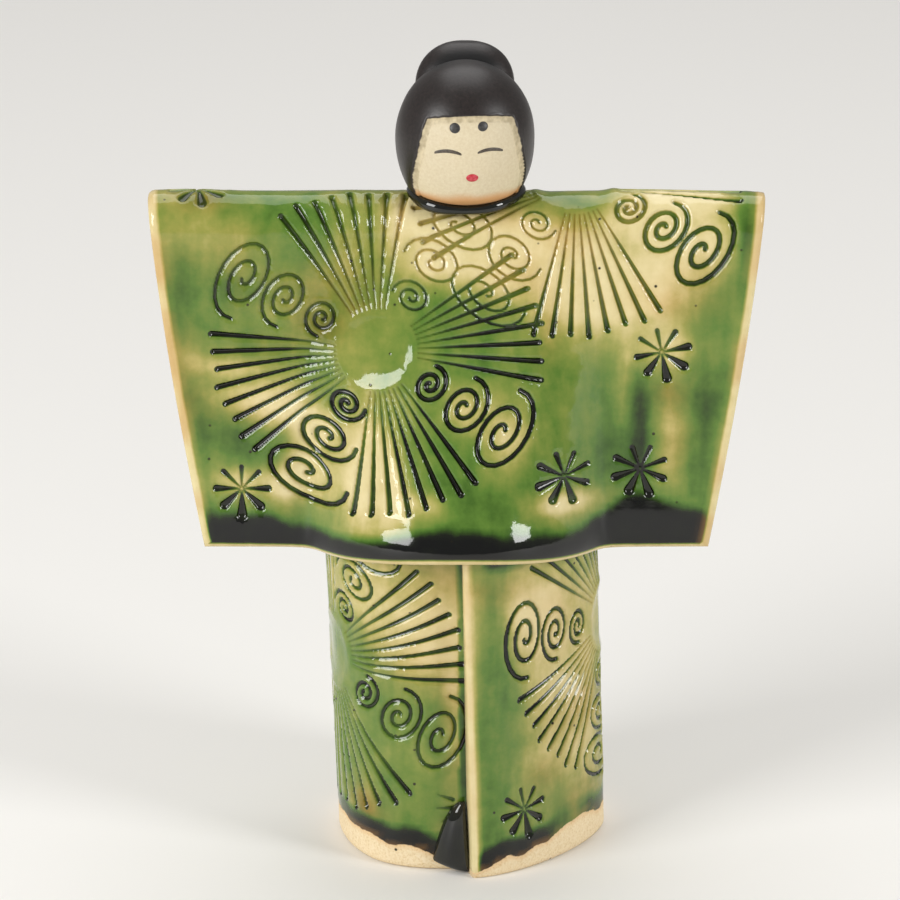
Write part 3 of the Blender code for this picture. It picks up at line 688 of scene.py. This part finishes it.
body = add(tree, "ShaderNodeMix", {0: bare, 6: warm.outputs[2], 7: baked.outputs[2]}, data_type="RGBA")
pits = add(tree, "ShaderNodeTexVoronoi", {"Vector": spot, "Scale": 300.0, "Randomness": 1.0})
pit = add(tree, "ShaderNodeMapRange", {0: pits.outputs["Distance"], 1: 0.05, 2: 0.10, 3: 1.0, 4: 0.0})
pick = add(tree, "ShaderNodeSeparateColor", {"Color": pits.outputs["Color"]})
rare = add(tree, "ShaderNodeMath", {0: pick.outputs[0], 1: 0.7}, operation="GREATER_THAN")
pinhole = add(tree, "ShaderNodeMath", {0: pit.outputs[0], 1: rare.outputs[0]}, operation="MULTIPLY")
spotted = add(tree, "ShaderNodeMix", {0: pinhole.outputs[0], 6: body.outputs[2], 7: colour("#2A2614")},
              data_type="RGBA")
tree.links.new(spotted.outputs[2], shader.inputs["Base Color"])
rough = add(tree, "ShaderNodeMapRange", {0: bare, 1: 0.0, 2: 1.0, 3: 0.06, 4: 0.85})
tree.links.new(rough.outputs[0], shader.inputs["Roughness"])
shader.inputs["IOR"].default_value = 1.5
ripple = add(tree, "ShaderNodeTexNoise", {"Vector": spot, "Scale": 300.0, "Detail": 3.0})
grain = add(tree, "ShaderNodeMath", {0: grit.outputs["Fac"], 1: bare}, operation="MULTIPLY")
relief = add(tree, "ShaderNodeMath", {0: ripple.outputs["Fac"], 1: grain.outputs[0]}, operation="ADD")
holed = add(tree, "ShaderNodeMath", {0: relief.outputs[0], 1: pinhole.outputs[0]}, operation="SUBTRACT")
bump = add(tree, "ShaderNodeBump", {"Height": holed.outputs[0], "Strength": 0.35, "Distance": 0.00014})
tree.links.new(bump.outputs[0], shader.inputs["Normal"])
robe.data.materials.append(glaze)
skirt.data.materials.append(glaze)


# The head is a solid ball of the same clay, luted into the fold.  Black satin slip is brushed over it
# as hair, up to a masked window that leaves the smooth cream face about half a millimetre lower.
HEAD_SHIFT = 1.4
HEAD_HEIGHT = 21.7
HEAD_RADIUS = 11.4
EQUATOR = 0.43 * HEAD_HEIGHT
NECK_DEPTH = 4.6
SLIP = 0.55
FACE_TURN = math.radians(5.8)
FRINGE_HEIGHT = 15.25
CHEEK_HEIGHTS = (0.0, 2.0, 8.0, 14.4)
CHEEK_ANGLES = (66.5, 64.5, 49.5, 42.5)


def head_radius(h):
    """Radius of the slipped head at a height above the crest."""
    upper = np.sqrt(np.maximum(1.0 - (np.maximum(h - EQUATOR, 0.0) / (HEAD_HEIGHT - EQUATOR)) ** 2, 0.0))
    lower = 1.0 - 0.216 * (np.maximum(EQUATOR - h, 0.0) / EQUATOR) ** 2.2
    chin = np.sqrt(np.maximum(1.0 - (np.clip(1.1 - h, 0.0, 2.4) / 2.45) ** 2, 0.0))
    return HEAD_RADIUS * upper * lower * (0.4 + 0.6 * chin)


def window_gap(angle, h):
    """Distance in mm into the face window from its edge, negative in the hair."""
    turned = angle - FACE_TURN
    fringe = FRINGE_HEIGHT - 0.9 * (turned / 0.75) ** 2
    reach = np.radians(np.interp(h, CHEEK_HEIGHTS, CHEEK_ANGLES))
    return np.minimum(fringe - h, (reach - np.abs(turned)) * HEAD_RADIUS * 0.93)


def head_place(raw):
    """Points of the head, with the face window half a millimetre below the slip."""
    angle = np.arctan2(raw[:, 0], -raw[:, 1])
    h = raw[:, 2]
    gap = window_gap(angle, h)
    cut = SLIP * smooth((gap + 0.1) / 0.3) - 0.10 * smooth((gap - 1.0) / 0.25)
    cut = cut + 0.05 * (1.0 + cloud(raw[:, 0] + 30.0, h, 7.0, 51)) * smooth(-gap / 0.5)
    radius = np.maximum(np.hypot(raw[:, 0], raw[:, 1]), 1e-6)
    share = np.maximum(radius - np.minimum(cut, 0.5 * radius), 0.0) / radius
    out = raw.copy()
    out[:, 0] = HEAD_SHIFT + raw[:, 0] * share
    out[:, 1] = raw[:, 1] * share
    out[:, 2] = CREST_HEIGHT + h
    return out


def head_marks(raw):
    """The window's edge, the toasted clay under the chin and painted shade in the crease below the bun."""
    angle = np.arctan2(raw[:, 0], -raw[:, 1])
    toast = smooth((2.5 - raw[:, 2] + 0.5 * cloud(raw[:, 0], raw[:, 2], 5.0, 52)) / 2.0)
    crease_shade = np.exp(-((raw[:, 2] - 20.9) / 0.7) ** 2) * smooth((raw[:, 1] + 3.0) / 4.0)
    return {"window": window_gap(angle, raw[:, 2]), "toast": toast, "crease_shade": crease_shade}


head_bm = bmesh.new()
heights = [-NECK_DEPTH + 5.0 * k / 14 for k in range(15)]
heights += [0.4 + (EQUATOR - 0.4) * k / 34 for k in range(1, 35)]
outline = [(float(head_radius(np.array(h))), h) for h in heights]
outline[0] = (0.0, outline[0][1])
outline += [
    (HEAD_RADIUS * math.cos(a), EQUATOR + (HEAD_HEIGHT - EQUATOR) * math.sin(a))
    for a in np.linspace(0.0, math.pi / 2, 62)[1:-1]
] + [(0.0, HEAD_HEIGHT)]
ring = [head_bm.verts.new((0.0, -radius, h)) for radius, h in outline]
edges = [head_bm.edges.new(pair) for pair in zip(ring, ring[1:])]
bmesh.ops.spin(head_bm, geom=ring + edges, cent=(0, 0, 0), axis=(0, 0, 1), dvec=(0, 0, 0),
               angle=2.0 * math.pi, steps=220, use_merge=True)
bmesh.ops.remove_doubles(head_bm, verts=head_bm.verts[:], dist=0.001)
head = finish_piece("head", head_bm, head_place, head_marks)
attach(head, "root")
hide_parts("hina_doll")

slip, tree, shader = new_material("satin_slip_and_clay")
spot = add(tree, "ShaderNodeTexCoord", {}).outputs["Object"]
window = add(tree, "ShaderNodeAttribute", {}, attribute_name="window").outputs["Fac"]
toast = add(tree, "ShaderNodeAttribute", {}, attribute_name="toast").outputs["Fac"]
ragged = add(tree, "ShaderNodeTexNoise", {"Vector": spot, "Scale": 900.0, "Detail": 3.0})
worn = add(tree, "ShaderNodeMapRange", {0: ragged.outputs["Fac"], 1: 0.3, 2: 0.7, 3: -0.05, 4: 0.05})
edge = add(tree, "ShaderNodeMath", {0: window, 1: worn.outputs[0]}, operation="ADD")
is_face = add(tree, "ShaderNodeMapRange", {0: edge.outputs[0], 1: -0.06, 2: 0.06})
in_middle = add(tree, "ShaderNodeMapRange", {0: edge.outputs[0], 1: 0.9, 2: 1.15})
fine = add(tree, "ShaderNodeTexNoise", {"Vector": spot, "Scale": 2200.0, "Detail": 3.0, "Roughness": 0.65})
hair_tone = add(tree, "ShaderNodeValToRGB", {"Fac": fine.outputs["Fac"]})
set_ramp(hair_tone, ((0.3, colour("#171210")), (0.7, colour("#2B2321"))))
band_tone = add(tree, "ShaderNodeValToRGB", {"Fac": ragged.outputs["Fac"]})
set_ramp(band_tone, ((0.35, colour("#B3A484")), (0.65, colour("#D6C7A5"))))
face_tone = add(tree, "ShaderNodeValToRGB", {"Fac": fine.outputs["Fac"]})
set_ramp(face_tone, ((0.3, colour("#D2C2A0")), (0.7, colour("#DDD0B2"))))
face_mix = add(tree, "ShaderNodeMix", {0: in_middle.outputs[0], 6: band_tone.outputs["Color"],
                                       7: face_tone.outputs["Color"]}, data_type="RGBA")
toast_share = add(tree, "ShaderNodeMath", {0: toast, 1: 0.75}, operation="MULTIPLY")
toasted = add(tree, "ShaderNodeMix", {0: toast_share.outputs[0], 6: face_mix.outputs[2],
                                      7: colour("#C9853A")}, data_type="RGBA")
# Painted shade: the hair turns near black in the crease where the bun meets the crown.
crease_shade = add(tree, "ShaderNodeAttribute", {}, attribute_name="crease_shade").outputs["Fac"]
hair = add(tree, "ShaderNodeMix", {0: crease_shade, 6: hair_tone.outputs["Color"], 7: colour("#060505")},
           data_type="RGBA")
tinted = add(tree, "ShaderNodeMix", {0: is_face.outputs[0], 6: hair.outputs[2], 7: toasted.outputs[2]},
             data_type="RGBA")
tree.links.new(tinted.outputs[2], shader.inputs["Base Color"])
rough = add(tree, "ShaderNodeMapRange", {0: is_face.outputs[0], 3: 0.38, 4: 0.6})
tree.links.new(rough.outputs[0], shader.inputs["Roughness"])
bump = add(tree, "ShaderNodeBump", {"Height": fine.outputs["Fac"], "Strength": 0.3, "Distance": 0.00008})
tree.links.new(bump.outputs[0], shader.inputs["Normal"])
head.data.materials.append(slip)


# The bun is a flattened disc of clay pressed on the back of the crown and covered with the same
# black slip; the crease between the two is darkened with painted shade.
BUN_RADIUS = 8.2
BUN_THICKNESS = 4.2
BUN_BACK = 6.8
BUN_TILT = math.radians(24.0)
BUN_SQUARE = 2.4


def bun_place(raw):
    """A flattened ball with a broad top."""
    turn = np.arctan2(raw[:, 2], raw[:, 0])
    corner = np.abs(np.cos(turn)) ** BUN_SQUARE + np.abs(np.sin(turn)) ** BUN_SQUARE
    broad = corner ** (-1.0 / BUN_SQUARE)
    out = raw * np.array((BUN_RADIUS, BUN_THICKNESS, BUN_RADIUS))
    out[:, 0] *= broad
    out[:, 2] *= broad
    wave = 0.99 + 0.01 * cloud(raw[:, 0] * 8.0, raw[:, 2] * 8.0, 9.0, 61)
    out *= wave[:, None]
    turned = np.array(Matrix.Rotation(-BUN_TILT, 3, "X"))
    out = out @ turned.T
    return out + np.array((HEAD_SHIFT, BUN_BACK, CREST_HEIGHT + HEAD_HEIGHT - 0.8 * BUN_RADIUS))


def bun_marks(raw):
    """The bun has no window, and its painted crease shade lies where it meets the crown."""
    reach = np.hypot(raw[:, 0], raw[:, 2])
    crease_shade = smooth((0.86 - reach) / 0.2) * smooth(0.4 - raw[:, 1])
    return {"window": np.full(len(raw), -3.0), "toast": np.zeros(len(raw)), "crease_shade": crease_shade}


bun_bm = bmesh.new()
bmesh.ops.create_uvsphere(bun_bm, u_segments=72, v_segments=40, radius=1.0)
bun = finish_piece("hair_bun", bun_bm, bun_place, bun_marks)
bun.data.materials.append(slip)
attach(bun, "root")
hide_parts("hina_doll")


# Brows, closed eyes and mouth are dabs of underglaze colour, laid on the face with a fine brush, so
# each is a thin lens of paint that follows the curve of the head.
def dab(name, across, height, half_width, half_height, lift, sag):
    """A lens of paint on the face: its middle, half sizes, how far it stands out and how it bows."""
    bm = bmesh.new()
    bmesh.ops.create_uvsphere(bm, u_segments=40, v_segments=20, radius=1.0)

    def place(raw):
        blunt = np.maximum(1.0 - raw[:, 0] ** 2, 0.03) ** (-0.28 if sag else 0.0)
        x = across - HEAD_SHIFT + raw[:, 0] * half_width
        h = height - CREST_HEIGHT + raw[:, 2] * blunt * half_height - sag * (raw[:, 0] ** 2 - 0.4)
        radius = head_radius(h) - SLIP + 0.1 - raw[:, 1] * blunt * lift
        y = -np.sqrt(np.maximum(radius ** 2 - x ** 2, 0.0))
        return np.stack([HEAD_SHIFT + x, y, CREST_HEIGHT + h], axis=1)

    piece = finish_piece(name, bm, place, lambda raw: {})
    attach(piece, "root")
    return piece


def streaky(name, scale, stops, roughness):
    """A coat whose tone drifts between its stops; a higher scale makes finer streaks."""
    material, tree, shader = new_material(name)
    spot = add(tree, "ShaderNodeTexCoord", {}).outputs["Object"]
    streak = add(tree, "ShaderNodeTexNoise", {"Vector": spot, "Scale": scale, "Detail": 2.0})
    tone = add(tree, "ShaderNodeValToRGB", {"Fac": streak.outputs["Fac"]})
    set_ramp(tone, stops)
    tree.links.new(tone.outputs["Color"], shader.inputs["Base Color"])
    shader.inputs["Roughness"].default_value = roughness
    return material, shader


grey, _ = streaky("grey_underglaze", 2500.0, ((0.3, colour("#2C2B2C")), (0.7, colour("#474543"))), 0.4)
brown, _ = streaky("brown_underglaze", 2500.0, ((0.3, colour("#3E3730")), (0.7, colour("#5F564B"))), 0.5)
red, _ = streaky("red_underglaze", 1800.0, ((0.3, colour("#B11F2C")), (0.7, colour("#D0505A"))), 0.25)
DABS = (
    (grey, "brow_left", -0.3, 126.6, 0.85, 0.8, 0.2, 0.0),
    (grey, "brow_right", 4.2, 126.8, 0.8, 0.75, 0.2, 0.0),
    (brown, "eye_left", -1.4, 122.7, 2.2, 0.3, 0.1, 0.5),
    (brown, "eye_right", 5.4, 122.9, 2.05, 0.29, 0.1, 0.45),
    (red, "mouth", 2.5, 118.4, 0.98, 0.68, 0.28, 0.0),
)
for paint, *shape in DABS:
    dab(*shape).data.materials.append(paint)


# Glaze that ran off the robe and skirt gathered in two places and set as black glass: a collar in the
# gap under the chin, and a bead at the foot of the lap.
COLLAR_ACROSS = 8.75
COLLAR_DEPTH = 7.2
COLLAR_DROP = 0.25
BEAD_WIDTH = 3.4
BEAD_HEIGHT = 12.8
BEAD_FOOT = 0.35
BEAD_RIGHT = 2.3
BEAD_FRONT = -19.9
black_glass = ((0.3, colour("#080908")), (0.6, colour("#15170F")), (0.75, colour("#2A2410")))
pooled, shader = streaky("pooled_black_glaze", 260.0, black_glass, 0.05)
shader.inputs["IOR"].default_value = 1.55


def collar_place(raw):
    """An uneven ring of glaze that sags a little at the front and back of the neck."""
    angle = np.arctan2(raw[:, 1], raw[:, 0])
    tube = np.hypot(raw[:, 0], raw[:, 1]) - 1.0
    facing = np.sin(angle) ** 2
    across = COLLAR_ACROSS + 0.2 * np.sin(3.0 * angle + 1.0)
    grow = 0.95 + 0.14 * np.sin(5.0 * angle) + 0.1 * np.sin(2.0 * angle + 0.6)
    x = HEAD_SHIFT + np.cos(angle) * (across + tube * grow)
    y = np.sin(angle) * (COLLAR_DEPTH + tube * grow)
    z = CREST_HEIGHT - COLLAR_DROP - 0.9 * facing + raw[:, 2] * grow
    return np.stack([x, y, z], axis=1)


collar_bm = bmesh.new()
bmesh.ops.create_circle(collar_bm, segments=20, radius=1.0, matrix=Matrix.Rotation(math.pi / 2, 4, "X"))
bmesh.ops.translate(collar_bm, verts=collar_bm.verts[:], vec=(2.0, 0.0, 0.0))
bmesh.ops.spin(collar_bm, geom=collar_bm.verts[:] + collar_bm.edges[:], cent=(0, 0, 0), axis=(0, 0, 1),
               dvec=(0, 0, 0), angle=2.0 * math.pi, steps=120, use_merge=True)
bmesh.ops.remove_doubles(collar_bm, verts=collar_bm.verts[:], dist=0.001)
for vert in collar_bm.verts:
    reach = math.hypot(vert.co.x, vert.co.y)
    vert.co.x *= (reach - 1.0) / reach
    vert.co.y *= (reach - 1.0) / reach
collar = finish_piece("glaze_collar", collar_bm, collar_place, lambda raw: {})
collar.data.materials.append(pooled)
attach(collar, "root")


def bead_place(raw):
    """A drop with its point up the seam, flat along the lap and spread over the foot to its left."""
    rise = 0.5 * (raw[:, 2] + 1.0)
    wide = BEAD_WIDTH * np.sqrt(np.clip(1.0 - rise, 0.0, 1.0)) * np.minimum(rise / 0.12, 1.0) ** 0.5
    right = BEAD_RIGHT - 0.9 * rise
    ring = np.maximum(np.sqrt(1.0 - np.minimum(raw[:, 2] ** 2, 0.999)), 0.04)
    x = right - wide + wide * raw[:, 0] / ring
    y = BEAD_FRONT + raw[:, 1] * 2.4 * (1.0 - 0.3 * rise) - 0.3 * (x - 0.5)
    return np.stack([x, y, BEAD_FOOT + rise * BEAD_HEIGHT], axis=1)


bead_bm = bmesh.new()
bmesh.ops.create_uvsphere(bead_bm, u_segments=48, v_segments=32, radius=1.0)
bead = finish_piece("glaze_bead", bead_bm, bead_place, lambda raw: {})
bead.data.materials.append(pooled)
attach(bead, "root")
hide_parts("hina_doll")


# The doll stands on a plain pale table, lit by three soft lamps that its glossy glaze mirrors.  The
# camera looks down on it by about 20 degrees.
CAMERA_SPOT = Vector((-1.07, -695.37, 321.2)) * MM
CAMERA_AIM = Vector((-1.07, 0.0, 68.1)) * MM
LAMP_AIM = Vector((0.0, 0.0, 70.0)) * MM
SENSOR_WIDTH = 36.0
PICTURE_PIXELS = 900.0
FOCAL_PIXELS = 4440.0

floor_bm = bmesh.new()
bmesh.ops.create_circle(floor_bm, cap_ends=True, segments=96, radius=3.0)
floor_mesh = bpy.data.meshes.new("table_top")
floor_bm.to_mesh(floor_mesh)
floor_bm.free()
floor = bpy.data.objects.new("table_top", floor_mesh)
bpy.context.scene.collection.objects.link(floor)
table_paint, tree, shader = new_material("pale_table_paint")
shader.inputs["Base Color"].default_value = colour("#F1EFEB")
shader.inputs["Roughness"].default_value = 0.6
floor.data.materials.append(table_paint)

LAMPS = (
    ("window_left", (-0.82, -0.575, 0.52), 0.46, 0.60, 8.5),
    ("window_right", (0.885, -0.47, 0.52), 0.30, 0.46, 5.5),
    ("ceiling", (0.0, 0.50, 1.2), 1.0, 1.0, 6.5),
)
for name, place, width, height, power in LAMPS:
    light = bpy.data.lights.new(name, "AREA")
    light.shape = "RECTANGLE"
    light.size = width
    light.size_y = height
    light.energy = power
    lamp = bpy.data.objects.new(name, light)
    lamp.location = place
    lamp.rotation_euler = (LAMP_AIM - Vector(place)).to_track_quat("-Z", "Y").to_euler()
    bpy.context.scene.collection.objects.link(lamp)

world = bpy.data.worlds.new("studio")
bpy.context.scene.world = world
world.use_nodes = True
world.node_tree.nodes["Background"].inputs["Color"].default_value = colour("#F4F3F1")
world.node_tree.nodes["Background"].inputs["Strength"].default_value = 0.34

lens = bpy.data.cameras.new("camera")
lens.sensor_width = SENSOR_WIDTH
lens.lens = FOCAL_PIXELS / PICTURE_PIXELS * SENSOR_WIDTH
lens.clip_end = 20.0
camera = bpy.data.objects.new("camera", lens)
camera.location = CAMERA_SPOT
camera.rotation_euler = (CAMERA_AIM - CAMERA_SPOT).to_track_quat("-Z", "Y").to_euler()
bpy.context.scene.collection.objects.link(camera)
bpy.context.scene.camera = camera
bpy.context.scene.view_settings.view_transform = "Standard"
